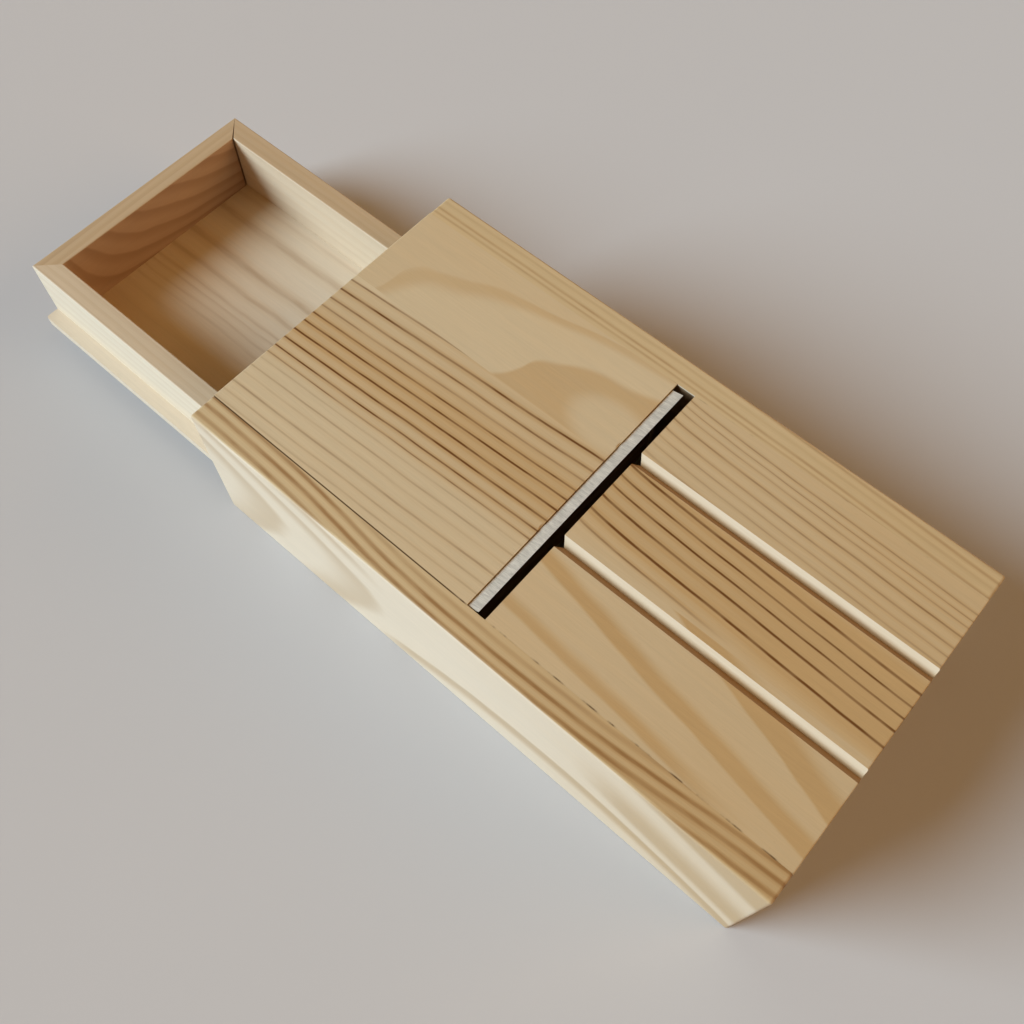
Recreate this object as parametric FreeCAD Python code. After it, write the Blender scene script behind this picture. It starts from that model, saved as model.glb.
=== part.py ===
"""Wooden soap planer with a shavings drawer.

An open-bottomed pine box stands on its two side boards. Its deck is split across by a slot, and a steel
blade lies under the outfeed half with its cutting edge in the slot, facing the infeed half. Two V grooves
in the infeed half carry a soap bar on its corner, so that the blade bevels the corner. Shavings fall
through the slot into a drawer, whose base runs in grooves ploughed in the side boards.

Frame: +X towards the infeed end, +Y across the deck, +Z up. The origin is on the table, at the middle of
the footprint that the box and its half-open drawer cover together. Units are millimetres.
"""

import math
import os

import FreeCAD
import Part

Vector = FreeCAD.Vector

# ---- Driving dimensions ----
BOX_LENGTH = 220.0
BOX_WIDTH = 120.0
BOX_HEIGHT = 60.0
SIDE_THICKNESS = 10.0
DECK_THICKNESS = 12.0
END_THICKNESS = 10.0
DRAWER_OUT = 106.6  # how far the drawer stands open in the modelled pose

OUTFEED_LENGTH = 107.6
SLOT_WIDTH = 7.0  # at the deck's top
MOUTH_UNDERCUT = math.radians(38.0)  # the infeed half's end leans back this far from upright

GROOVE_DEPTH = 2.5  # a 90 degree V, so it is twice as wide as deep
GROOVE_CENTRES = (-17.0, 20.0)
NICK_REACH = 2.0  # where the grooving bit's axis stopped, short of the outfeed half

BLADE_EDGE_FROM_OUTFEED = 4.2
BLADE_EXPOSURE = 0.5
BLADE_THICKNESS = 2.0
BLADE_WIDTH = 25.0
BLADE_BEVEL = math.radians(30.0)
BLADE_ENDS = (-49.6, 47.4)
BLADE_SLOT = (4.0, 7.0)  # width across, length along the blade's slope
SCREW_DOWN_BLADE = 15.0
SCREW_SPACING = 64.0

BED_DEPTH = 9.0
BED_BACK_FROM_END = 74.0

RUNNER_HEIGHT = 8.0  # underside of the drawer's base above the table
BASE_THICKNESS = 4.0
RUNNER_OVERHANG = 5.2
RUNNER_PLAY = 0.3
RUNNER_SIDE_PLAY = 0.6
DRAWER_SIDE_PLAY = 0.5
DRAWER_BACK_PLAY = 1.0
WALL_THICKNESS = 8.0
WALL_HEIGHT = 25.0
MITRE_GAP = 0.8  # the front's far mitre stands open this much on the inside

DOWEL_RADIUS = 2.5
DOWEL_IN_SIDE = 7.0
DOWEL_IN_PANEL = 11.0
OUTFEED_DOWELS = (15.0, 50.0, 85.0)  # from the drawer end of the box
INFEED_DOWELS = (135.0, 170.0, 205.0)
END_DOWEL_HEIGHTS = (16.0, 36.0)

ARRIS = 1.0  # sanded outer edges
SOFT_ARRIS = 0.5

# ---- Derived places ----
LEFT = -(BOX_LENGTH + DRAWER_OUT) / 2 + DRAWER_OUT
RIGHT = LEFT + BOX_LENGTH
HALF_WIDTH = BOX_WIDTH / 2
INNER = HALF_WIDTH - SIDE_THICKNESS
DECK_UNDER = BOX_HEIGHT - DECK_THICKNESS
DECK_MIDDLE = BOX_HEIGHT - DECK_THICKNESS / 2
SLOT_LEFT = LEFT + OUTFEED_LENGTH
SLOT_RIGHT = SLOT_LEFT + SLOT_WIDTH
END_INNER = RIGHT - END_THICKNESS

DRAWER_LEFT = LEFT - DRAWER_OUT
DRAWER_LENGTH = BOX_LENGTH - END_THICKNESS - DRAWER_BACK_PLAY
DRAWER_RIGHT = DRAWER_LEFT + DRAWER_LENGTH
DRAWER_HALF = INNER - DRAWER_SIDE_PLAY
BASE_HALF = DRAWER_HALF + RUNNER_OVERHANG
BASE_TOP = RUNNER_HEIGHT + BASE_THICKNESS
RIM = BASE_TOP + WALL_HEIGHT

# The blade slopes down at 45 degrees from its edge, towards the drawer end.
DOWN_SLOPE = Vector(-math.sqrt(0.5), 0, -math.sqrt(0.5))
FACE_NORMAL = Vector(math.sqrt(0.5), 0, -math.sqrt(0.5))  # out of the blade's free face
EDGE = Vector(SLOT_LEFT + BLADE_EDGE_FROM_OUTFEED, 0, BOX_HEIGHT + BLADE_EXPOSURE)
BED_POINT = EDGE - FACE_NORMAL * BLADE_THICKNESS  # a point of the plane that the blade is bedded on


# ---- Helpers ----
def block(x_from, x_to, y_from, y_to, z_from, z_to):
    return Part.makeBox(x_to - x_from, y_to - y_from, z_to - z_from, Vector(x_from, y_from, z_from))


def prism_across(outline, y_from, y_to):
    """Extrudes an outline of (x, z) points across the deck."""
    points = [Vector(x, y_from, z) for x, z in outline]
    return Part.Face(Part.makePolygon(points + points[:1])).extrude(Vector(0, y_to - y_from, 0))


def prism_up(outline, z_from, z_to):
    """Extrudes an outline of (x, y) points upwards."""
    points = [Vector(x, y, z_from) for x, y in outline]
    return Part.Face(Part.makePolygon(points + points[:1])).extrude(Vector(0, 0, z_to - z_from))


def prism_along(outline, x_from, x_to):
    """Extrudes an outline of (y, z) points along the box."""
    points = [Vector(x_from, y, z) for y, z in outline]
    return Part.Face(Part.makePolygon(points + points[:1])).extrude(Vector(x_to - x_from, 0, 0))


def edges_at(shape, x=None, y=None, z=None):
    """The edges that lie wholly at each coordinate given."""
    wanted = [(i, v) for i, v in enumerate((x, y, z)) if v is not None]

    def lies_there(edge):
        box = edge.BoundBox
        lows, highs = (box.XMin, box.YMin, box.ZMin), (box.XMax, box.YMax, box.ZMax)
        return all(abs(lows[i] - v) < 1e-4 and abs(highs[i] - v) < 1e-4 for i, v in wanted)

    return [edge for edge in shape.Edges if lies_there(edge)]


def mirrored(shape):
    """The same shape on the far side of the box."""
    return shape.mirror(Vector(0, 0, 0), Vector(0, 1, 0))


def bed_x(z):
    """Where the blade's bed plane is, at height z."""
    return BED_POINT.x + (z - BED_POINT.z)


def on_blade(shape, y):
    """Moves a shape whose Z axis leaves the blade's free face to a screw's place on the blade."""
    place = EDGE + DOWN_SLOPE * SCREW_DOWN_BLADE
    matrix = FreeCAD.Matrix(
        DOWN_SLOPE.x, 0, FACE_NORMAL.x, place.x,
        0, 1, 0, y,
        DOWN_SLOPE.z, 0, FACE_NORMAL.z, place.z,
        0, 0, 0, 1,
    )
    moved = shape.copy()
    moved.Placement = FreeCAD.Placement(matrix)
    return moved


def without(shape, *tools):
    for tool in tools:
        shape = shape.cut(tool)
    return shape


# ---- Fasteners ----
def cross_recess(top, size, depth):
    """A cross slot sunk from a screw head's top."""
    arm = block(-size / 2, size / 2, -size / 9, size / 9, top - depth, top + 1)
    return arm.fuse(block(-size / 9, size / 9, -size / 2, size / 2, top - depth, top + 1))


def screw_shank(radius, top, bottom):
    """A shank along Z with a pointed tip at its bottom."""
    tip = 2 * radius
    cylinder = Part.makeCylinder(radius, top - bottom - tip, Vector(0, 0, bottom + tip))
    return cylinder.fuse(Part.makeCone(0.2, radius, tip, Vector(0, 0, bottom))).removeSplitter()


WASHER_OUTER, WASHER_INNER, WASHER_THICKNESS = 4.5, 1.7, 0.8
BLADE_SCREW_RADIUS, BLADE_SCREW_TIP = 1.5, -9.0
PAN_RADIUS, PAN_HEIGHT = 3.0, 2.0


def blade_washer():
    ring = Part.makeCylinder(WASHER_OUTER, WASHER_THICKNESS)
    return ring.cut(Part.makeCylinder(WASHER_INNER, WASHER_THICKNESS))


def blade_screw_shank():
    return screw_shank(BLADE_SCREW_RADIUS, WASHER_THICKNESS, BLADE_SCREW_TIP)


def blade_screw():
    head_top = WASHER_THICKNESS + PAN_HEIGHT
    head = Part.makeCylinder(PAN_RADIUS, PAN_HEIGHT, Vector(0, 0, WASHER_THICKNESS))
    head = head.makeFillet(PAN_HEIGHT * 0.45, edges_at(head, z=head_top))
    return head.fuse(blade_screw_shank()).removeSplitter().cut(cross_recess(head_top, 3.4, 1.2))


BED_SCREW_RADIUS, BED_SCREW_HEAD, BED_SCREW_LENGTH = 1.5, 3.0, 16.0
BED_SCREW_PLACES = (-30.0, 30.0)
BED_SCREW_FROM_BACK = 7.0


def bed_screw(y):
    """A countersunk screw that holds the bed block up under the deck, head down."""
    under = DECK_UNDER - BED_DEPTH
    head_depth = BED_SCREW_HEAD - BED_SCREW_RADIUS
    cone = Part.makeCone(BED_SCREW_HEAD, BED_SCREW_RADIUS, head_depth)
    shank = screw_shank(BED_SCREW_RADIUS, 0, -BED_SCREW_LENGTH)
    shank.rotate(Vector(0, 0, 0), Vector(1, 0, 0), 180)
    body = cone.fuse(shank).removeSplitter()
    body.translate(Vector(SLOT_LEFT - OUTFEED_LENGTH + BED_BACK_FROM_END + BED_SCREW_FROM_BACK, y, under))
    return body


def bed_screw_recess(screw):
    centre = screw.BoundBox.Center
    recess = cross_recess(0, 3.2, 1.1)
    recess.rotate(Vector(0, 0, 0), Vector(1, 0, 0), 180)
    recess.translate(Vector(centre.x, centre.y, screw.BoundBox.ZMin))
    return recess


def dowel(x, z):
    """A wooden dowel across the near side's joint with a panel."""
    start = Vector(x, -INNER - DOWEL_IN_SIDE, z)
    pin = Part.makeCylinder(DOWEL_RADIUS, DOWEL_IN_SIDE + DOWEL_IN_PANEL, start, Vector(0, 1, 0))
    return pin.makeChamfer(0.5, [e for e in pin.Edges if e.Curve.TypeId == "Part::GeomCircle"])


def both_sides(shapes):
    return shapes + [mirrored(shape) for shape in shapes]


DECK_DOWELS = both_sides([dowel(LEFT + x, DECK_MIDDLE) for x in OUTFEED_DOWELS + INFEED_DOWELS])
END_DOWELS = both_sides([dowel(RIGHT - END_THICKNESS / 2, z) for z in END_DOWEL_HEIGHTS])

BRAD_RADIUS, BRAD_LENGTH, BRAD_HEAD_RADIUS, BRAD_HEAD = 0.6, 18.0, 1.1, 0.5
BRADS_LONG = (-0.42, -0.15, 0.15, 0.42)  # shares of the drawer's length, from its middle
BRADS_SHORT = (-22.0, 22.0)


def brad(x, y):
    """A small nail driven up through the drawer's base into a wall, its head flush below."""
    head = Part.makeCylinder(BRAD_HEAD_RADIUS, BRAD_HEAD, Vector(x, y, RUNNER_HEIGHT))
    shank = Part.makeCylinder(BRAD_RADIUS, BRAD_LENGTH - BRAD_HEAD, Vector(x, y, RUNNER_HEIGHT + BRAD_HEAD))
    return head.fuse(shank).removeSplitter()


def drawer_brads():
    middle = (DRAWER_LEFT + DRAWER_RIGHT) / 2
    inset = WALL_THICKNESS / 2
    long_wall = DRAWER_HALF - inset
    lengthwise = [middle + share * DRAWER_LENGTH for share in BRADS_LONG]
    places = [(x, y) for x in lengthwise for y in (-long_wall, long_wall)]
    places += [(x, y) for x in (DRAWER_LEFT + inset, DRAWER_RIGHT - inset) for y in BRADS_SHORT]
    return [brad(x, y) for x, y in places]


# ---- The box ----
def side_board():
    """The near side board; the far one is its mirror image."""
    board = block(LEFT, RIGHT, -HALF_WIDTH, -INNER, 0, BOX_HEIGHT)
    outer = edges_at(board, x=LEFT, y=-HALF_WIDTH) + edges_at(board, x=RIGHT, y=-HALF_WIDTH)
    outer += edges_at(board, y=-HALF_WIDTH, z=BOX_HEIGHT)
    outer += edges_at(board, x=LEFT, z=BOX_HEIGHT) + edges_at(board, x=RIGHT, z=BOX_HEIGHT)
    board = board.makeFillet(ARRIS, outer)
    board = board.makeFillet(SOFT_ARRIS, edges_at(board, y=-HALF_WIDTH, z=0))
    plough = block(
        LEFT - 1, RIGHT + 1,
        -BASE_HALF - RUNNER_SIDE_PLAY, 0,
        RUNNER_HEIGHT - RUNNER_PLAY, BASE_TOP + RUNNER_PLAY,
    )
    return without(board, plough, *DECK_DOWELS, *END_DOWELS)


def deck_panel(outline, end_x):
    """A deck panel, flush with the side boards, with its outer end eased."""
    panel = prism_across(outline, -INNER, INNER)
    return panel.makeFillet(SOFT_ARRIS, edges_at(panel, x=end_x, z=BOX_HEIGHT))


def outfeed_deck(screws):
    bed_top = BED_POINT.z - (BED_POINT.x - SLOT_LEFT)  # where the bed starts, under a narrow upright land
    outline = [
        (LEFT, DECK_UNDER), (LEFT, BOX_HEIGHT), (SLOT_LEFT, BOX_HEIGHT),
        (SLOT_LEFT, bed_top), (bed_x(DECK_UNDER), DECK_UNDER),
    ]
    tips = [Vector(SLOT_LEFT + NICK_REACH, y, BOX_HEIGHT - GROOVE_DEPTH) for y in GROOVE_CENTRES]
    nicks = [Part.makeCone(0, GROOVE_DEPTH + 1, GROOVE_DEPTH + 1, tip) for tip in tips]
    return without(deck_panel(outline, LEFT), *nicks, *DECK_DOWELS, *screws)


def corner_groove(y):
    """The 90 degree V that carries a soap bar on its corner."""
    bottom = BOX_HEIGHT - GROOVE_DEPTH
    top = BOX_HEIGHT + 1
    half = top - bottom
    return prism_along([(y, bottom), (y - half, top), (y + half, top)], SLOT_RIGHT - 1, RIGHT + 1)


def infeed_deck():
    under_end = SLOT_RIGHT + DECK_THICKNESS * math.tan(MOUTH_UNDERCUT)
    outline = [
        (SLOT_RIGHT, BOX_HEIGHT), (RIGHT, BOX_HEIGHT),
        (RIGHT, DECK_UNDER), (under_end, DECK_UNDER),
    ]
    return without(deck_panel(outline, RIGHT), *map(corner_groove, GROOVE_CENTRES), *DECK_DOWELS)


def end_board():
    board = block(END_INNER, RIGHT, -INNER, INNER, 0, DECK_UNDER)
    board = board.makeFillet(SOFT_ARRIS, edges_at(board, x=RIGHT, z=0))
    return without(board, *END_DOWELS)


def blade_bed(screws):
    back = LEFT + BED_BACK_FROM_END
    under = DECK_UNDER - BED_DEPTH
    outline = [(back, DECK_UNDER), (bed_x(DECK_UNDER), DECK_UNDER), (bed_x(under), under), (back, under)]
    bed = prism_across(outline, -INNER, INNER)
    bed = bed.makeChamfer(SOFT_ARRIS, edges_at(bed, x=back, z=under))
    return without(bed, *screws)


def blade():
    heel = EDGE + DOWN_SLOPE * (BLADE_THICKNESS / math.tan(BLADE_BEVEL)) - FACE_NORMAL * BLADE_THICKNESS
    foot = EDGE + DOWN_SLOPE * BLADE_WIDTH
    back_foot = foot - FACE_NORMAL * BLADE_THICKNESS
    steel = prism_across([(p.x, p.z) for p in (EDGE, heel, back_foot, foot)], *BLADE_ENDS)
    width, length = BLADE_SLOT
    straight = (length - width) / 2
    deep = 3 * BLADE_THICKNESS
    oblong = block(-straight, straight, -width / 2, width / 2, -deep, deep)
    for x in (-straight, straight):
        oblong = oblong.fuse(Part.makeCylinder(width / 2, 2 * deep, Vector(x, 0, -deep)))
    oblong = oblong.removeSplitter()
    return without(steel, *[on_blade(oblong, y) for y in screw_places()])


def screw_places():
    middle = sum(BLADE_ENDS) / 2
    return (middle - SCREW_SPACING / 2, middle + SCREW_SPACING / 2)


# ---- The drawer ----
def drawer_base(brads):
    board = block(DRAWER_LEFT, DRAWER_RIGHT, -BASE_HALF, BASE_HALF, RUNNER_HEIGHT, BASE_TOP)
    corners = [edge for x in (DRAWER_LEFT, DRAWER_RIGHT) for y in (-BASE_HALF, BASE_HALF)
               for edge in edges_at(board, x=x, y=y)]
    return without(board.makeFillet(ARRIS, corners), *brads)


def softened(wall, places):
    """Rounds a wall's top edges, each given as the coordinate it lies at."""
    return wall.makeFillet(SOFT_ARRIS, [edge for place in places for edge in edges_at(wall, z=RIM, **place)])


def drawer_long_wall(brads):
    """The near wall, mitred at both ends; the far one is its mirror image."""
    inner = DRAWER_HALF - WALL_THICKNESS
    outline = [
        (DRAWER_LEFT, -DRAWER_HALF), (DRAWER_RIGHT, -DRAWER_HALF),
        (DRAWER_RIGHT - WALL_THICKNESS, -inner), (DRAWER_LEFT + WALL_THICKNESS, -inner),
    ]
    wall = prism_up(outline, BASE_TOP, RIM)
    return without(softened(wall, [{"y": -DRAWER_HALF}, {"y": -inner}]), *brads)


def drawer_end_wall(outside, inside, far_gap=0.0):
    """A mitred end wall between two x places, the outer one first."""
    inner = DRAWER_HALF - WALL_THICKNESS
    outline = [(outside, -DRAWER_HALF), (outside, DRAWER_HALF), (inside, inner - far_gap), (inside, -inner)]
    return softened(prism_up(outline, BASE_TOP, RIM), [{"x": outside}, {"x": inside}])


def main():
    os.makedirs("parts", exist_ok=True)
    near_y, far_y = screw_places()
    shanks = [on_blade(blade_screw_shank(), y) for y in (near_y, far_y)]
    bed_screws = [bed_screw(y) for y in BED_SCREW_PLACES]
    brads = drawer_brads()
    near_side = side_board()
    long_wall = drawer_long_wall(brads)
    nodes = {
        "side_board_near": near_side,
        "side_board_far": mirrored(near_side),
        "outfeed_deck": outfeed_deck(shanks + bed_screws),
        "infeed_deck": infeed_deck(),
        "end_board": end_board(),
        "blade_bed": blade_bed(bed_screws),
        "blade": blade(),
        "blade_washer_near": on_blade(blade_washer(), near_y),
        "blade_washer_far": on_blade(blade_washer(), far_y),
        "blade_screw_near": on_blade(blade_screw(), near_y),
        "blade_screw_far": on_blade(blade_screw(), far_y),
        "bed_screw_near": bed_screws[0].cut(bed_screw_recess(bed_screws[0])),
        "bed_screw_far": bed_screws[1].cut(bed_screw_recess(bed_screws[1])),
        "deck_dowels": Part.makeCompound(DECK_DOWELS),
        "end_board_dowels": Part.makeCompound(END_DOWELS),
        "drawer_base": drawer_base(brads),
        "drawer_front": without(drawer_end_wall(DRAWER_LEFT, DRAWER_LEFT + WALL_THICKNESS, MITRE_GAP), *brads),
        "drawer_back": without(drawer_end_wall(DRAWER_RIGHT, DRAWER_RIGHT - WALL_THICKNESS), *brads),
        "drawer_wall_near": long_wall,
        "drawer_wall_far": mirrored(long_wall),
        "drawer_brads": Part.makeCompound(brads),
    }
    for name, shape in nodes.items():
        for solid in shape.Solids:
            if not solid.isValid() or solid.Volume <= 0:
                raise ValueError(f"{name} is not a valid solid")
        shape.exportStep(f"parts/{name}.step")
        box = shape.BoundBox
        spans = ((box.XMin, box.XMax), (box.YMin, box.YMax), (box.ZMin, box.ZMax))
        extent = ", ".join(f"{axis} {low:.1f}..{high:.1f}" for axis, (low, high) in zip("xyz", spans))
        print(f"{name}: {len(shape.Solids)} solid(s), {shape.Volume / 1000:.2f} cm3, {extent}")


main()
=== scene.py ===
"""Looks of the wooden soap planer: pine with each board's own figure, a ground steel blade and a studio.

Every shape is the CAD frame's. The grain is solid: a board's figure is worked out in millimetres from the
box's near drawer-end corner, so its faces, ends and edges agree, and it moves with the board.
"""

import math

import bpy
from mathutils import Matrix, Vector


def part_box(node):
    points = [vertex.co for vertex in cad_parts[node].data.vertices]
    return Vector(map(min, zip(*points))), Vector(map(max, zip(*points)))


MM = 0.001

# ---- Colours, linear ----
DECK_TONES = {"pale": (0.645, 0.512, 0.33), "honey": (0.515, 0.328, 0.148), "late": (0.155, 0.058, 0.014)}
SIDE_TONES = {"pale": (0.63, 0.48, 0.28), "honey": (0.50, 0.32, 0.145), "late": (0.27, 0.125, 0.036)}
# The side boards' broad faces: paler and greyer than their tops, as painted sheen and light
FACE_SHEEN_TONES = {"pale": (0.76, 0.635, 0.49), "honey": (0.54, 0.385, 0.225), "late": (0.42, 0.27, 0.14)}
DRAWER_TONES = {"pale": (0.76, 0.645, 0.50), "honey": (0.58, 0.40, 0.23), "late": (0.38, 0.22, 0.11)}
# The drawer's front and back: redder pine, darkened with painted shade for the front's inner face, which
# faces away from the window
ENDS_TONES_AND_SHADE = {"pale": (0.49, 0.30, 0.175), "honey": (0.42, 0.24, 0.13), "late": (0.28, 0.135, 0.06)}
# The drawer's long walls: pale as painted sheen on the near wall, turning honey towards the far wall in
# wall_figure
WALL_SHEEN_TONES = {"pale": (0.80, 0.69, 0.54), "honey": (0.70, 0.56, 0.40), "late": (0.54, 0.38, 0.24)}
RIM_TONES = {"pale": (0.63, 0.50, 0.35), "honey": (0.52, 0.37, 0.22), "late": (0.38, 0.24, 0.12)}
# The grooves: the fresh-cut colour goes only on the slope that faces the window, as painted light;
# GROOVE_SHADE is painted shade, with dust, on the other slope
FRESH_CUT_AND_LIGHT = (0.72, 0.58, 0.42)
GROOVE_SHADE = (0.34, 0.19, 0.075)
# The dark of the joints between boards; it also serves as the painted shade at the inner end of the blade's
# slot
JOINT_AND_SHADE_DARK = (0.105, 0.055, 0.022)
INNER_TONES = {"pale": (0.60, 0.45, 0.28), "honey": (0.47, 0.32, 0.17), "late": (0.28, 0.15, 0.06)}
DOWEL_TONES = {"pale": (0.55, 0.38, 0.23), "honey": (0.45, 0.29, 0.15), "late": (0.30, 0.17, 0.08)}
FLOOR_COLOURS = (0.578, 0.566, 0.575), (0.592, 0.577, 0.586)

# ---- The floor, in metres ----
FLOOR_RADIUS = 6.0
COVE = 0.8
BACKDROP_HEIGHT = 1.15
FLOOR_SIDES = 96

# ---- The room: linear colours, and the sines of the heights between which the warm light sets in ----
ROOM_WALLS, ROOM_ABOVE = (0.27, 0.25, 0.235), (0.258, 0.130, 0.026)
WARM_HEIGHTS = (0.36, 0.64)

# ---- The camera: metres from the deck's centre, a lens in mm, and the ways it looks and leans ----
AIM_OFFSET = (-0.0121, -0.0191, 0.0)
CAMERA_DISTANCE = 0.3175
CAMERA_LENS = 37.4
CAMERA_FORWARD = (-0.2893, 0.3439, -0.8934)
CAMERA_RIGHT = (0.7552, 0.6554, 0.0077)


# ---- Shader graphs ----
class Value:
    """A number that a shader works out at each point. Arithmetic on it makes math nodes."""

    def __init__(self, graph, socket):
        self.graph = graph
        self.socket = socket

    def __add__(self, other):
        return self.graph.math("ADD", self, other)

    def __sub__(self, other):
        return self.graph.math("SUBTRACT", self, other)

    def __rsub__(self, other):
        return self.graph.math("SUBTRACT", other, self)

    def __mul__(self, other):
        return self.graph.math("MULTIPLY", self, other)

    def __truediv__(self, other):
        return self.graph.math("DIVIDE", self, other)

    def __pow__(self, power):
        return self.graph.math("POWER", self, power)

    def __abs__(self):
        return self.graph.math("ABSOLUTE", self)

    __radd__ = __add__
    __rmul__ = __mul__


class Graph:
    """One material's node tree, with a short call for each kind of node used here."""

    def __init__(self, name):
        self.material = bpy.data.materials.new(name)
        self.material.use_nodes = True
        self.nodes = self.material.node_tree.nodes
        self.links = self.material.node_tree.links
        self.shader = self.nodes["Principled BSDF"]

    def new(self, kind, settings=(), **inputs):
        node = self.nodes.new("ShaderNode" + kind)
        for key, value in dict(settings).items():
            setattr(node, key, value)
        for key, value in inputs.items():
            self.plug(node.inputs[key.replace("_", " ")], value)
        return node

    def plug(self, socket, value):
        if isinstance(value, Value):
            self.links.new(value.socket, socket)
        else:
            socket.default_value = value

    def out(self, node, index=0):
        return Value(self, node.outputs[index])

    def math(self, operation, a, b=0.0):
        node = self.new("Math", {"operation": operation})
        self.plug(node.inputs[0], a)
        self.plug(node.inputs[1], b)
        return self.out(node)

    def larger(self, a, b):
        return self.math("MAXIMUM", a, b)

    def place(self):
        """The point's place in the frame, in metres."""
        split = self.new("SeparateXYZ")
        self.links.new(self.new("TexCoord").outputs["Object"], split.inputs[0])
        return [self.out(split, i) for i in range(3)]

    def facing(self, axis):
        """How squarely the surface faces along an axis, either way."""
        split = self.new("SeparateXYZ")
        self.links.new(self.new("NewGeometry").outputs["Normal"], split.inputs[0])
        return abs(self.out(split, "xyz".index(axis)))

    def point(self, x, y, z):
        node = self.new("CombineXYZ")
        for socket, value in zip(node.inputs, (x, y, z)):
            self.plug(socket, value)
        return self.out(node)

    def noise(self, x, y, z, detail=2.0, roughness=0.5):
        """Smooth noise about zero, mostly within a half either way."""
        settings = {"Scale": 1.0, "Detail": detail, "Roughness": roughness}
        return self.out(self.new("TexNoise", Vector=self.point(x, y, z), **settings)) - 0.5

    def rise(self, value, low, high):
        """0 below low, 1 above high, and a smooth step between."""
        smooth = {"interpolation_type": "SMOOTHSTEP"}
        return self.out(self.new("MapRange", smooth, Value=value, From_Min=low, From_Max=high))

    def fall(self, value, low, high):
        return 1.0 - self.rise(value, low, high)

    def hump(self, value, low, peak_low, peak_high, high):
        """Rises from low to peak_low, stays, and falls from peak_high to high."""
        return self.rise(value, low, peak_low) * self.fall(value, peak_high, high)

    def curve(self, value, points, span):
        """A smooth line through (place, height) points: places from 0 to span, heights from 0 to 1."""
        node = self.new("FloatCurve", Value=value / span)
        curve = node.mapping.curves[0]
        for place, height in points[1:-1]:
            curve.points.new(place / span, height)
        for found, (place, height) in zip(sorted(curve.points, key=lambda p: p.location.x), points):
            found.location = (place / span, height)
            found.handle_type = "AUTO_CLAMPED"
        node.mapping.update()
        return self.out(node)

    def blend(self, factor, a, b):
        """The colour a, turning into b as the factor goes from 0 to 1."""
        node = self.new("Mix", {"data_type": "RGBA", "clamp_factor": True})
        self.plug(node.inputs["Factor"], factor)
        for socket, colour in ((node.inputs[6], a), (node.inputs[7], b)):
            self.plug(socket, colour if isinstance(colour, Value) else (*colour, 1.0))
        return self.out(node, 2)

    def shaded(self, colour, factor):
        """The colour, made brighter or darker by a factor."""
        node = self.new("VectorMath", {"operation": "SCALE"})
        self.links.new(colour.socket, node.inputs[0])
        self.plug(node.inputs["Scale"], factor)
        return self.out(node)


# ---- Pine ----
def late_lines(g, across, lines, span, spacing, width):
    """Thin latewood lines where across, in mm, meets each of the places in lines, which gives each its
    strength, and the soft honey shade about each line. They are spacing apart, more or less."""
    places = [min(lines) - spacing, *lines, max(lines) + spacing]
    strengths = [0.0, *lines.values(), 0.0]
    steps = len(places) + 1
    ranks = [(i + 1) / steps for i in range(len(places))]
    rank = g.curve(across, [(0.0, 0.0), *zip(places, ranks), (span, 1.0)], span) * float(steps)
    off = (rank - g.math("ROUND", rank)) * spacing
    strength = g.curve(across, [(0.0, 0.0), *zip(places, strengths), (span, 0.0)], span)
    core = g.fall(abs(off), 0.2 * width, width)
    shade = g.hump(off, -spacing * 0.42, -width, width, spacing * 0.30)
    return core * strength, shade * strength


def outline(g, u, points, length, height):
    """The height, in mm, of a line through (u, height) points along a board."""
    return g.curve(u, [(at, rise / height) for at, rise in points], length) * height


def runs(g, u, v, w):
    """Darker and fainter runs along each latewood line."""
    return 0.66 + g.rise(g.noise(u / 15, v / 2.6, w / 2.6, detail=3.0), -0.14, 0.16) * 0.52


def rings(g, count, sharp=0.93):
    """Latewood from a ring count: it darkens slowly through the year and ends sharply."""
    part = g.math("FRACT", count)
    return g.rise(part, 0.25, sharp) * g.fall(part, sharp, 1.0)


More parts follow.
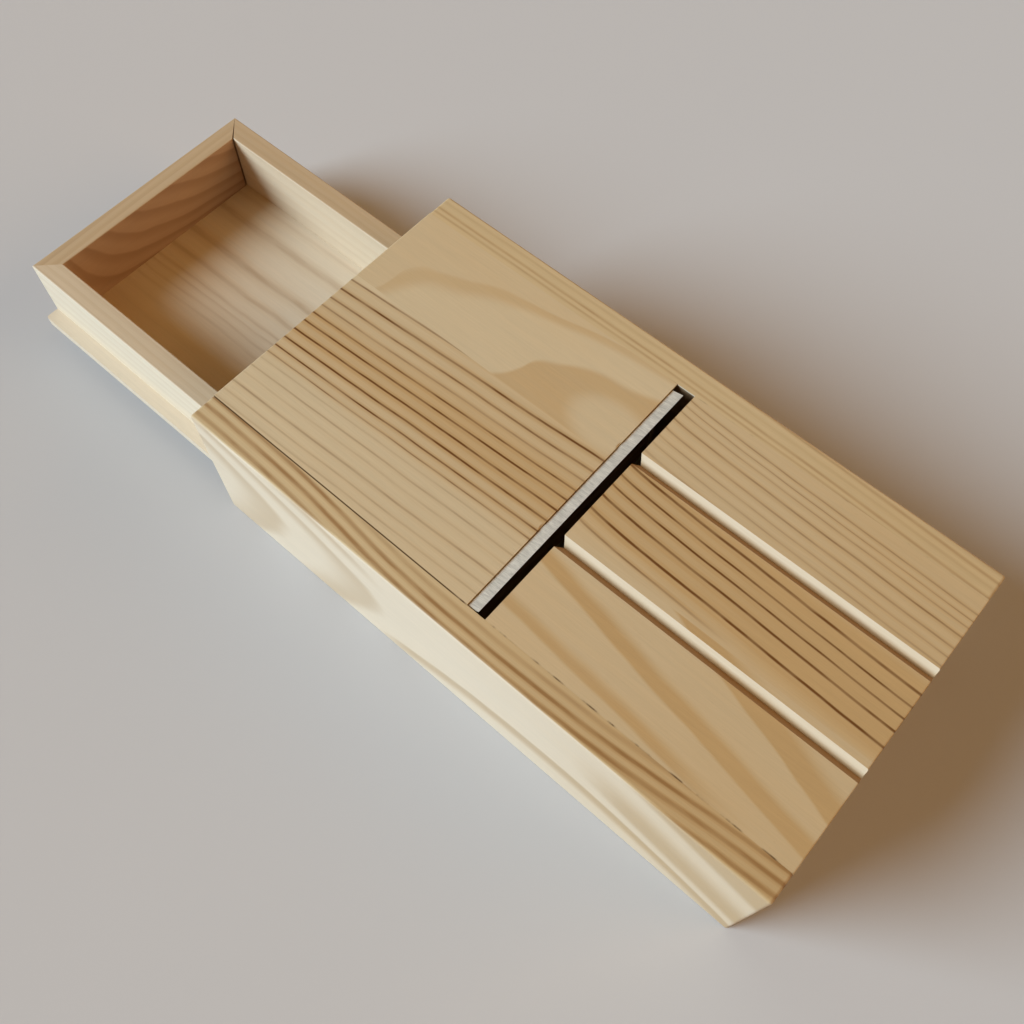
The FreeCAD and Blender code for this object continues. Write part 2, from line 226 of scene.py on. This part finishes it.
def pine(name, tones, figure, faces=None, grain="x", marks=()):
    """A sanded pine material, its grain along x or y.

    figure(g, u, v, w) gives how much latewood and how much honey tone there is at a point, in mm. faces, if
    given, is (axis, tones, figure) for the faces that look along an axis. marks are (mask, colour) pairs
    laid over the figure, and each mask is a function like figure.
    """
    g = Graph(name)
    x, y, z = g.place()
    u = (x - BOX_LOW.x) / MM
    v = (y - BOX_LOW.y) / MM
    w = z / MM
    along, across = (u, v) if grain == "x" else (v, u)
    cloud = g.noise(along / 55, across / 24, w / 24)
    streak = g.noise(along / 85, across / 1.9, w / 1.9)
    fibre = g.noise(along / 11, across / 0.32, w / 0.32, detail=3.0, roughness=0.6)

    def coloured(own_tones, own_figure):
        late, honey = own_figure(g, u, v, w)
        ground = g.blend(honey + cloud * 0.35 + streak * 0.18, own_tones["pale"], own_tones["honey"])
        return g.blend(late * (fibre * 0.5 + 1.0), ground, own_tones["late"]), late

    colour, late = coloured(tones, figure)
    if faces is not None:
        axis, *face_look = faces
        side = g.rise(g.facing(axis), 0.45, 0.85)
        face_colour, face_late = coloured(*face_look)
        colour = g.blend(side, colour, face_colour)
        late = late + side * (face_late - late)
    pores = g.rise(g.noise(along / 1.7, across / 0.16, w / 0.16, detail=0.0), 0.27, 0.36)
    ends = g.rise(g.facing(grain), 0.6, 0.9)
    shade = 1.0 + fibre * 0.18 + streak * 0.13 + cloud * 0.10
    shade = shade * (1.0 - pores * 0.10) * (1.0 - ends * (0.14 + g.noise(u, v / 0.5, w / 0.5) * 0.15))
    colour = g.shaded(colour, shade)
    for mask, tint in marks:
        colour = g.blend(mask(g, u, v, w), colour, tint)
    g.links.new(colour.socket, g.shader.inputs["Base Color"])
    rough = 0.56 - late * 0.10 + fibre * 0.14 + ends * 0.12
    g.links.new(rough.socket, g.shader.inputs["Roughness"])
    g.shader.inputs["Specular IOR Level"].default_value = 0.32
    height = late * 0.35 + fibre * 0.9 + streak * 0.25 - pores * 0.7
    bump = g.new("Bump", Strength=0.35, Distance=0.06 * MM, Height=height)
    g.links.new(bump.outputs[0], g.shader.inputs["Normal"])
    return g.material


def near_joint(g, u, v, w):
    """The thin dark line between the deck and the near side board, broken into dashes past the blade."""
    dashes = g.larger(g.fall(u, 100.0, 112.0), g.rise(g.noise(u / 6.0, 3.0, 0.0, detail=4.0), -0.05, 0.20))
    return g.fall(abs(v - SEAM_NEAR), 0.10, 0.34) * g.rise(g.facing("z"), 0.7, 0.9) * dashes


def far_joint(g, u, v, w):
    """The far side board's joint, nearly closed."""
    dashes = g.rise(g.noise(u / 6.0, 8.0, 0.0, detail=4.0), 0.0, 0.25) * g.rise(u, 95.0, 115.0)
    return g.fall(abs(v - SEAM_FAR), 0.08, 0.28) * g.rise(g.facing("z"), 0.7, 0.9) * dashes * 0.4


def groove_sides(g, v, w, *reach):
    """The sloping faces of the two V grooves, by distance from a groove's centre, as a hump takes it."""
    either = g.larger(g.hump(v - GROOVES[0], *reach), g.hump(v - GROOVES[1], *reach))
    return either * g.fall(g.facing("z"), 0.80, 0.95) * g.rise(w, DECK_TOP - 3.0, DECK_TOP - 2.6)


def lit_fresh_cut_sides(g, u, v, w):
    """The fresh cut, as painted light on the slope that faces the window: palest towards the top of the
    slope, and fading towards the groove's bottom as painted shade and dust.
    """
    return groove_sides(g, v, w, 0.0, 1.6, 2.45, 2.55) * (0.9 + g.noise(u / 12, v / 0.8, w / 0.8) * 0.5)


def shaded_sides(g, u, v, w):
    """The other slope, in painted shade, darkest at the bottom of the groove with painted shade and dust.
    """
    return groove_sides(g, v, w, -2.6, -2.5, -0.4, 0.9) * 0.85


def slot_end_shade(g, u, v, w):
    """The inner end of the blade's slot, in the far side board, dark with painted shade."""
    inside = g.fall(v, SEAM_FAR + 0.1, SEAM_FAR + 0.5) * g.fall(w, DECK_TOP - 0.8, DECK_TOP - 0.3)
    return inside * g.hump(u, 102.0, 104.0, 117.0, 119.0) * g.rise(g.facing("y"), 0.5, 0.8) * 0.9


# ---- Each board's figure ----
# u runs along the box from its drawer end, v across it from its near side and w up from the table, in mm.
BOX_LENGTH, BOX_WIDTH, DECK_TOP = 220.0, 120.0, 60.0
SEAM_NEAR, SEAM_FAR = 10.0, 110.0
GROOVES = (43.0, 80.0)
OUTFEED_END, INFEED_START = 107.0, 114.6
OUTFEED_SEAM, INFEED_SEAM = 74.0, 47.8  # where each half's two strips are glued together
SEAM_BLUR = 0.15
DECK_LINES = {"span": BOX_WIDTH, "spacing": 4.2, "width": 0.52}
TOP_EDGE_SPAN, TOP_EDGE_SPACING = 60.0, 3.4

# Where each board's latewood lines lie across it, and how strong each is.
OUTFEED_LINES = {
    10.6: 0.22, 14.0: 0.25, 18.0: 0.38, 22.5: 0.16, 26.0: 0.30, 30.0: 0.18, 33.0: 0.62, 36.4: 0.85,
    40.6: 1.0, 45.0: 0.95, 49.4: 1.0, 53.5: 0.80, 57.5: 0.45, 61.6: 0.70, 66.5: 0.85, 71.5: 0.60,
}
INFEED_LINES = {
    52.4: 0.55, 57.8: 1.0, 63.5: 0.95, 68.2: 0.95, 72.5: 0.92, 77.2: 0.85, 84.2: 0.25, 88.0: 0.28,
    91.4: 0.30, 94.8: 0.40, 99.2: 0.50, 102.8: 0.35, 105.4: 0.40, 108.0: 0.42,
}
NEAR_TOP_LINES = {12.4: 0.55, 16.3: 0.62, 19.7: 0.66, 23.0: 0.30, 26.4: 0.30}
NEAR_TOP_DIP = [
    (0.0, 0.0), (20.0, 0.2), (45.0, 1.2), (60.0, 2.5), (75.0, 4.1), (90.0, 5.1), (107.0, 5.6), (134.0, 5.4),
    (154.0, 4.8), (174.0, 3.6), (194.0, 1.7), (204.0, 0.9), (220.0, 0.1),
]
FAR_TOP_LINES = {11.9: 0.28, 13.9: 0.36, 17.2: 0.14, 19.9: 0.34, 23.0: 0.25}
ARCH_LENGTH = 110.0
FIRST_ARCH = [
    (0.0, 60.0), (9.0, 74.0), (11.0, 84.0), (15.0, 90.0), (20.0, 92.5), (30.0, 96.5), (40.0, 101.0),
    (50.0, 103.0), (62.0, 105.0), (80.0, 109.0), (110.0, 112.0),
]
SECOND_ARCH = [
    (0.0, 50.0), (56.0, 71.0), (62.0, 76.0), (66.0, 82.0), (68.0, 87.0), (75.0, 91.5), (82.0, 95.5),
    (88.0, 97.5), (97.0, 98.5), (110.0, 102.0),
]
TRAY_LINES = {
    22.0: 0.04, 31.0: 0.06, 38.0: 0.08, 43.5: 0.12, 47.5: 0.16, 51.5: 0.19, 54.5: 0.23, 61.5: 0.30,
    71.5: 0.38, 87.5: 0.32, 97.0: 0.14,
}


def outfeed_figure(g, u, v, w):
    """The deck's plain half: a strip of close lines, and a strip with two broad arches and a pale heart."""
    depth = DECK_TOP - w
    wander = g.noise(u / 38, v / 30, w / 30) * 1.1
    across = v - (3.0 + v * 0.04) * (u / OUTFEED_END) + depth * 0.22 + wander
    lines, shade = late_lines(g, across, OUTFEED_LINES, **DECK_LINES)
    lines = lines * runs(g, u, v, w)
    tone = g.hump(across, 29.0, 35.0, 68.0, 73.0) * 0.34 + g.hump(across, 38.0, 45.0, 52.0, 60.0) * 0.30
    tone = tone + 0.02 + g.rise(u, 20.0, 95.0) * 0.14 + shade * 0.45

    bend = g.noise(u / 22, v / 14, w / 14) * 2.5
    first = outline(g, u + bend, FIRST_ARCH, ARCH_LENGTH, BOX_WIDTH) - v + depth
    second = outline(g, u + bend, SECOND_ARCH, ARCH_LENGTH, BOX_WIDTH) - v + depth
    thickness = 9.0 - g.rise(u, 30.0, 62.0) * 5.0 + g.fall(u, 10.0, 22.0) * 11.0
    band = g.hump(first / thickness, -0.14, 0.10, 0.28, 1.05) * 0.46 + g.fall(first, -1.0, 1.0) * 0.16
    heart = g.fall(((u - 101.0) / 15.0) ** 2.0 + ((v - 83.0) / 9.5) ** 2.0, 0.35, 1.45)
    blob = g.rise(second, -1.2, 1.8) * (0.62 - heart * 0.50)
    figured = g.larger(band, blob) + 0.10
    strip = g.rise(v, OUTFEED_SEAM - SEAM_BLUR, OUTFEED_SEAM + SEAM_BLUR)
    return lines * (1.0 - strip), tone + strip * (figured - tone)


def infeed_figure(g, u, v, w):
    """The deck's grooved half: a strip of close lines, and a strip with three slanting bands."""
    depth = DECK_TOP - w
    s = u - INFEED_START
    wander = g.noise(u / 38, v / 30, w / 30) * 1.0
    across = v + (g.larger(s, 0.0) / 105.4) ** 0.65 * 4.6 - depth * 0.22 + wander
    lines, shade = late_lines(g, across, INFEED_LINES, **DECK_LINES)
    lines = lines * runs(g, u, v, w)
    fading = 1.0 - g.rise(s, 38.0, 58.0) * g.fall(across, 53.0, 56.0)
    # Painted shade: darker towards the far end, where the light falls off
    falloff_shade = g.rise(s, -10.0, 115.0)
    tone = 0.40 + g.hump(across, 50.0, 58.0, 79.0, 84.0) * 0.38 + shade * fading * 0.45 + falloff_shade * 0.24

    bend = g.noise(u / 30, v / 14, w / 14) * 2.2
    height = v + bend - depth * 0.7
    middle = height - 36.2 + s * 0.185
    upper = height - 61.5 + s * 0.32
    lower = height - 19.0 + s * 0.10
    figured = g.larger(g.hump(middle, -2.8, -1.0, 0.2, 5.0), g.hump(upper, -2.4, -0.8, 0.8, 9.0)) * 0.78
    figured = g.larger(figured, g.hump(lower, -2.2, -0.8, 0.3, 4.0) * g.fall(s, 55.0, 95.0) * 0.55)
    figured = figured + 0.34 + falloff_shade * 0.18
    strip = g.fall(v, INFEED_SEAM - SEAM_BLUR, INFEED_SEAM + SEAM_BLUR)
    return lines * fading * (1.0 - strip), tone + strip * (figured - tone)


def near_top_figure(g, u, v, w):
    """The near side board's top edge: broad lines that dip towards the outside in the middle."""
    wander = g.noise(u / 26, v / 30, w / 9) * 0.7
    dip = outline(g, u, NEAR_TOP_DIP, BOX_LENGTH, 10.0)
    across = v + dip + 10.0 + wander + (DECK_TOP - w) * 0.25
    lines, shade = late_lines(g, across, NEAR_TOP_LINES, TOP_EDGE_SPAN, TOP_EDGE_SPACING, 0.95)
    return lines * runs(g, u, v, w), 0.06 + shade * 0.55 + g.rise(u, 60.0, 200.0) * 0.70


def far_top_figure(g, u, v, w):
    """The far side board's top edge: a few soft lines that drift inwards past the blade."""
    wander = g.noise(u / 45, v / 30, w / 9) * 0.6
    drop = (g.larger(u - 100.0, 0.0) / 120.0) ** 1.4 * 3.8
    across = v - 100.0 + drop + wander + (DECK_TOP - w) * 0.25
    lines, shade = late_lines(g, across, FAR_TOP_LINES, TOP_EDGE_SPAN, TOP_EDGE_SPACING, 0.8)
    return lines * runs(g, u, v, w), 0.22 + shade * 0.5 + g.rise(u, 120.0, 210.0) * 0.25


def near_face_figure(g, u, v, w):
    """The near side board's broad face: nested arches by the drawer, a long low one and a sloping band."""
    bend = g.noise(u / 30, v / 12, w / 18) * 9.0
    steep = g.larger(w - 30.0, 0.0) ** 2.0 * 0.075 + g.larger(30.0 - w, 0.0) ** 2.0 * 0.022
    nested = rings(g, (u + steep + bend) / 43.0 + 0.12, 0.80)
    nested = nested * g.fall(u + g.larger(w - 38.0, 0.0) * 0.9, 80.0, 94.0)
    arch = w - 20.0 + ((u - 150.0) / 70.0) ** 2.0 * 16.0 + bend * 0.25
    low = g.hump(arch, -10.0, -1.5, 0.3, 3.0) * g.rise(u, 70.0, 92.0)
    sloping = w + (u - 165.0) * 0.36 + bend * 0.3
    band = g.larger(g.hump(sloping, 26.0, 35.0, 40.0, 58.0), g.rise(sloping, 61.0, 67.0))
    band = band * g.rise(u + bend * 2.0, 152.0, 182.0) * g.rise(arch, 4.0, 12.0)
    figure = g.larger(g.larger(nested * 0.8, low), band * 0.9)
    return figure * 0.20, figure * 0.58 + g.rise(u, 90.0, 230.0) * 0.48


def flat_sawn_figure(g, u, v, w):
    """Long arches, one inside the other, of a board sawn near the log's outside."""
    swell = g.noise(u / 130, v / 60, w / 34, detail=0.0) * 2.4
    arch = ((w - 27.0) / 15.0) ** 2.0 - (u - 40.0) / 52.0
    late = rings(g, arch + swell + 8.0, 0.90)
    return late * 0.30, late * 0.45 + 0.08


def straight_figure(g, u, v, w):
    """Even lines along a board, slightly aslant."""
    wander = g.noise(u / 60, v / 20, w / 20) * 1.6
    late = rings(g, (v + w * 0.8 + u * 0.012 + wander) / 3.4, 0.9)
    return late * 0.28, late * 0.35 + 0.1


def cross_figure(g, u, v, w):
    """Even lines across the box, for the boards whose grain runs that way."""
    wander = g.noise(v / 60, u / 20, w / 20) * 1.6
    late = rings(g, (w * 0.9 + u * 0.5 + v * 0.02 + wander) / 4.2, 0.9)
    return late * 0.28, late * 0.35 + 0.1


def drawer_base_figure(g, u, v, w):
    """Soft lines along the tray's floor, wider apart towards the far side, and painted shade by the near
    wall and the front.
    """
    across = v - (u + 100.0) * 0.02 + g.noise(u / 30, v / 30, 1.0) * 3.4
    lines, shade = late_lines(g, across, TRAY_LINES, BOX_WIDTH, 5.0, 0.9)
    # Painted shade: the tray's floor darker by its near wall and its front, where their shadows fall
    inside = g.rise(v, 12.5, 14.0) * (g.fall(v, 14.5, 48.0) * 0.55 + g.fall(u, -98.0, -60.0) * 0.35)
    return lines * runs(g, u, v, w), shade * 0.5 + 0.06 + inside


def drawer_front_figure(g, u, v, w):
    """Sweeping lines that come down steeply at the near end and level out towards the far one."""
    bend = g.noise(u / 20, v / 22, w / 12) * 2.0
    reach = g.larger(v - 16.0, 0.0) * g.larger(w - 8.0, 0.0)
    late = rings(g, (reach ** 0.5 + bend) / 6.6, 0.86)
    return late * 0.36, late * 0.45 + 0.1


def rim_figure(g, u, v, w):
    """Faint lines along the top edges of the drawer's front and back."""
    wander = g.noise(v / 60, u / 14, w / 14) * 2.0
    late = rings(g, (u * 0.9 + v * 0.02 + wander) / 3.1, 0.88)
    return late * 0.16, late * 0.25 + 0.90


def wall_figure(g, u, v, w):
    """The drawer's long walls: almost plain, with faint lines along them, pale with painted sheen by the
    near side and turning honey towards the far wall.
    """
    wander = g.noise(u / 70, v / 14, w / 14) * 2.2
    late = rings(g, (v * 0.9 + w * 0.45 + wander) / 2.7, 0.88)
    return late * 0.08, late * 0.16 + 0.06 + g.rise(v, 50.0, 80.0) * 0.70


def wall_rim_figure(g, u, v, w):
    """The top edges of the long walls, the far one a little darker."""
    late, honey = wall_figure(g, u, v, w)
    return late, honey + g.rise(v, 40.0, 80.0) * 0.15


# ---- Steel ----
def ground_steel():
    """The blade: brushed across its width, with the fine cross lines of grinding."""
    g = Graph("ground_steel")
    x, y, z = (value / MM for value in g.place())
    scratch = g.noise(x / 3.0, y / 0.22, z / 3.0, detail=4.0, roughness=0.7)
    coarse = g.noise(x / 5.0, y / 1.3, z / 5.0)
    stain = g.noise(x / 8, y / 10, z / 8)
    shade = 0.94 + scratch * 1.1 + coarse * 0.6 + stain * 0.3
    colour = g.blend(stain + 0.4, (0.80, 0.765, 0.69), (0.66, 0.625, 0.555))
    g.links.new(g.shaded(colour, shade).socket, g.shader.inputs["Base Color"])
    g.shader.inputs["Metallic"].default_value = 0.45
    g.links.new((0.52 + scratch * 0.2 + stain * 0.1).socket, g.shader.inputs["Roughness"])
    bump = g.new("Bump", Strength=0.35, Distance=0.03 * MM, Height=scratch + coarse * 0.5)
    g.links.new(bump.outputs[0], g.shader.inputs["Normal"])
    return g.material


def zinc_steel():
    """Screws, washers and brads: plated, a little mottled."""
    g = Graph("zinc_steel")
    x, y, z = (value / MM for value in g.place())
    mottle = g.noise(x / 0.8, y / 0.8, z / 0.8, detail=3.0)
    colour = g.blend(mottle + 0.5, (0.62, 0.62, 0.60), (0.48, 0.48, 0.49))
    g.links.new(g.shaded(colour, 1.0 + mottle * 0.2).socket, g.shader.inputs["Base Color"])
    g.shader.inputs["Metallic"].default_value = 1.0
    g.links.new((0.34 + mottle * 0.2).socket, g.shader.inputs["Roughness"])
    return g.material


def pale_floor():
    """A matt pale table, faintly uneven."""
    g = Graph("pale_floor")
    x, y, z = g.place()
    cloud = g.noise(x * 5.0, y * 5.0, z)
    g.links.new(g.blend(cloud + 0.5, *FLOOR_COLOURS).socket, g.shader.inputs["Base Color"])
    g.shader.inputs["Roughness"].default_value = 0.9
    g.shader.inputs["Specular IOR Level"].default_value = 0.15
    return g.material


# ---- Scene ----
def dress(names, material):
    """Gives CAD nodes a material in place of their own."""
    for name in names:
        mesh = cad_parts[name].data
        mesh.materials.clear()
        mesh.materials.append(material)


def add_floor():
    """A round table top that curves up into a low backdrop."""
    bend = [math.radians(angle) for angle in range(0, 91, 10)]
    profile = [(FLOOR_RADIUS - COVE * (1 - math.sin(a)), COVE * (1 - math.cos(a))) for a in bend]
    profile.append((FLOOR_RADIUS, BACKDROP_HEIGHT))
    turns = [math.tau * i / FLOOR_SIDES for i in range(FLOOR_SIDES)]
    points = [(r * math.cos(t), r * math.sin(t), z) for r, z in profile for t in turns]
    faces = [tuple(range(FLOOR_SIDES))]
    for ring in range(len(profile) - 1):
        for i in range(FLOOR_SIDES):
            j = (i + 1) % FLOOR_SIDES
            low, high = ring * FLOOR_SIDES, (ring + 1) * FLOOR_SIDES
            faces.append((low + i, high + i, high + j, low + j))
    mesh = bpy.data.meshes.new("floor")
    mesh.from_pydata(points, [], faces)
    mesh.polygons.foreach_set("use_smooth", [True] * len(faces))
    floor = bpy.data.objects.new("floor", mesh)
    bpy.context.scene.collection.objects.link(floor)
    mesh.materials.append(pale_floor())


def add_far_light(name, azimuth, elevation, spread, strength, colour):
    """A broad light from far away, with azimuth 0 on the +X side and every angle in degrees."""
    lamp = bpy.data.lights.new(name, "SUN")
    lamp.angle = math.radians(spread)
    lamp.energy = strength
    lamp.color = colour
    out = Vector((math.cos(math.radians(azimuth)), math.sin(math.radians(azimuth)), 0))
    back = out * math.cos(math.radians(elevation)) + Vector((0, 0, math.sin(math.radians(elevation))))
    holder = bpy.data.objects.new(name, lamp)
    holder.rotation_euler = back.to_track_quat("Z", "Y").to_euler()
    bpy.context.scene.collection.objects.link(holder)


def room():
    """The room's own light: grey walls, and warm from higher up."""
    world = bpy.data.worlds.new("room")
    world.use_nodes = True
    nodes, links = world.node_tree.nodes, world.node_tree.links
    split = nodes.new("ShaderNodeSeparateXYZ")
    links.new(nodes.new("ShaderNodeTexCoord").outputs["Generated"], split.inputs[0])
    height = nodes.new("ShaderNodeMapRange")
    height.interpolation_type = "SMOOTHSTEP"
    height.inputs["From Min"].default_value, height.inputs["From Max"].default_value = WARM_HEIGHTS
    links.new(split.outputs[2], height.inputs["Value"])
    colour = nodes.new("ShaderNodeMix")
    colour.data_type = "RGBA"
    links.new(height.outputs[0], colour.inputs["Factor"])
    colour.inputs[6].default_value = (*ROOM_WALLS, 1.0)
    colour.inputs[7].default_value = (*ROOM_ABOVE, 1.0)
    links.new(colour.outputs[2], nodes["Background"].inputs["Color"])
    return world


def add_light():
    """Cool window light from the near left, a little warm light from the far right, and the room."""
    add_far_light("window", 228.0, 28.0, 37.0, 4.22, (0.73, 0.90, 1.0))
    add_far_light("room_wall", 35.0, 22.0, 42.0, 0.95, (1.0, 0.64, 0.30))
    bpy.context.scene.world = room()
    bpy.context.scene.view_settings.view_transform = "Standard"


def add_camera(deck_centre):
    """A camera close over the infeed half's near corner, looking steeply down along the deck."""
    aim = deck_centre + Vector(AIM_OFFSET)
    forward = Vector(CAMERA_FORWARD).normalized()
    right = Vector(CAMERA_RIGHT)
    right = (right - forward * right.dot(forward)).normalized()
    up = right.cross(forward)
    camera = bpy.data.cameras.new("camera")
    camera.sensor_width = 36.0
    camera.lens = CAMERA_LENS
    camera.clip_start = 0.01
    holder = bpy.data.objects.new("camera", camera)
    turn = Matrix((right, up, -forward)).transposed().to_4x4()
    holder.matrix_world = Matrix.Translation(aim - forward * CAMERA_DISTANCE) @ turn
    bpy.context.scene.collection.objects.link(holder)
    bpy.context.scene.camera = holder


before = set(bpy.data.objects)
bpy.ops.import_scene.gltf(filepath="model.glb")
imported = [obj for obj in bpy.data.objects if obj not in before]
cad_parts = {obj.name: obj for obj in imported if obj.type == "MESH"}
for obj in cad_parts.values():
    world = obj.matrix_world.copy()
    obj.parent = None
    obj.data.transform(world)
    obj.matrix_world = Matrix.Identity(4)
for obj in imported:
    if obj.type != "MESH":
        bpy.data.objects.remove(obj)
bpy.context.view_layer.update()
BOX_LOW, BOX_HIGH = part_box("side_board_near")[0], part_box("side_board_far")[1]
deck_centre = Vector(((BOX_LOW.x + BOX_HIGH.x) / 2, 0.0, BOX_HIGH.z))

add_camera(deck_centre)
add_floor()
add_light()

near_face = ("y", FACE_SHEEN_TONES, near_face_figure)
far_face = ("y", FACE_SHEEN_TONES, flat_sawn_figure)
ends_rim = ("z", RIM_TONES, rim_figure)
walls_rim = ("z", RIM_TONES, wall_rim_figure)
joints = ((near_joint, JOINT_AND_SHADE_DARK), (far_joint, JOINT_AND_SHADE_DARK))
# Painted light on the grooves' lit slopes and painted shade on the others
grooves = ((lit_fresh_cut_sides, FRESH_CUT_AND_LIGHT), (shaded_sides, GROOVE_SHADE))
# Painted shade at the inner end of the blade's slot
slot = ((slot_end_shade, JOINT_AND_SHADE_DARK),)

side_near = pine("pine_side_near", SIDE_TONES, near_top_figure, near_face, marks=joints)
side_far = pine("pine_side_far", SIDE_TONES, far_top_figure, far_face, marks=(*joints, *slot))
drawer_ends = pine("pine_drawer_ends", ENDS_TONES_AND_SHADE, drawer_front_figure, ends_rim, grain="y")
drawer_walls = pine("pine_drawer_walls", WALL_SHEEN_TONES, wall_figure, walls_rim)
dress(["outfeed_deck"], pine("pine_outfeed", DECK_TONES, outfeed_figure, marks=joints))
dress(["infeed_deck"], pine("pine_infeed", DECK_TONES, infeed_figure, marks=(*grooves, *joints)))
dress(["side_board_near"], side_near)
dress(["side_board_far"], side_far)
dress(["end_board", "blade_bed"], pine("pine_inner", INNER_TONES, cross_figure, grain="y"))
dress(["drawer_base"], pine("pine_drawer_base", DRAWER_TONES, drawer_base_figure))
dress(["drawer_front", "drawer_back"], drawer_ends)
dress(["drawer_wall_near", "drawer_wall_far"], drawer_walls)
dress(["deck_dowels", "end_board_dowels"], pine("beech_dowels", DOWEL_TONES, straight_figure))
dress(["blade"], ground_steel())
screws = ["blade_screw_near", "blade_screw_far", "blade_washer_near", "blade_washer_far"]
dress([*screws, "bed_screw_near", "bed_screw_far", "drawer_brads"], zinc_steel())
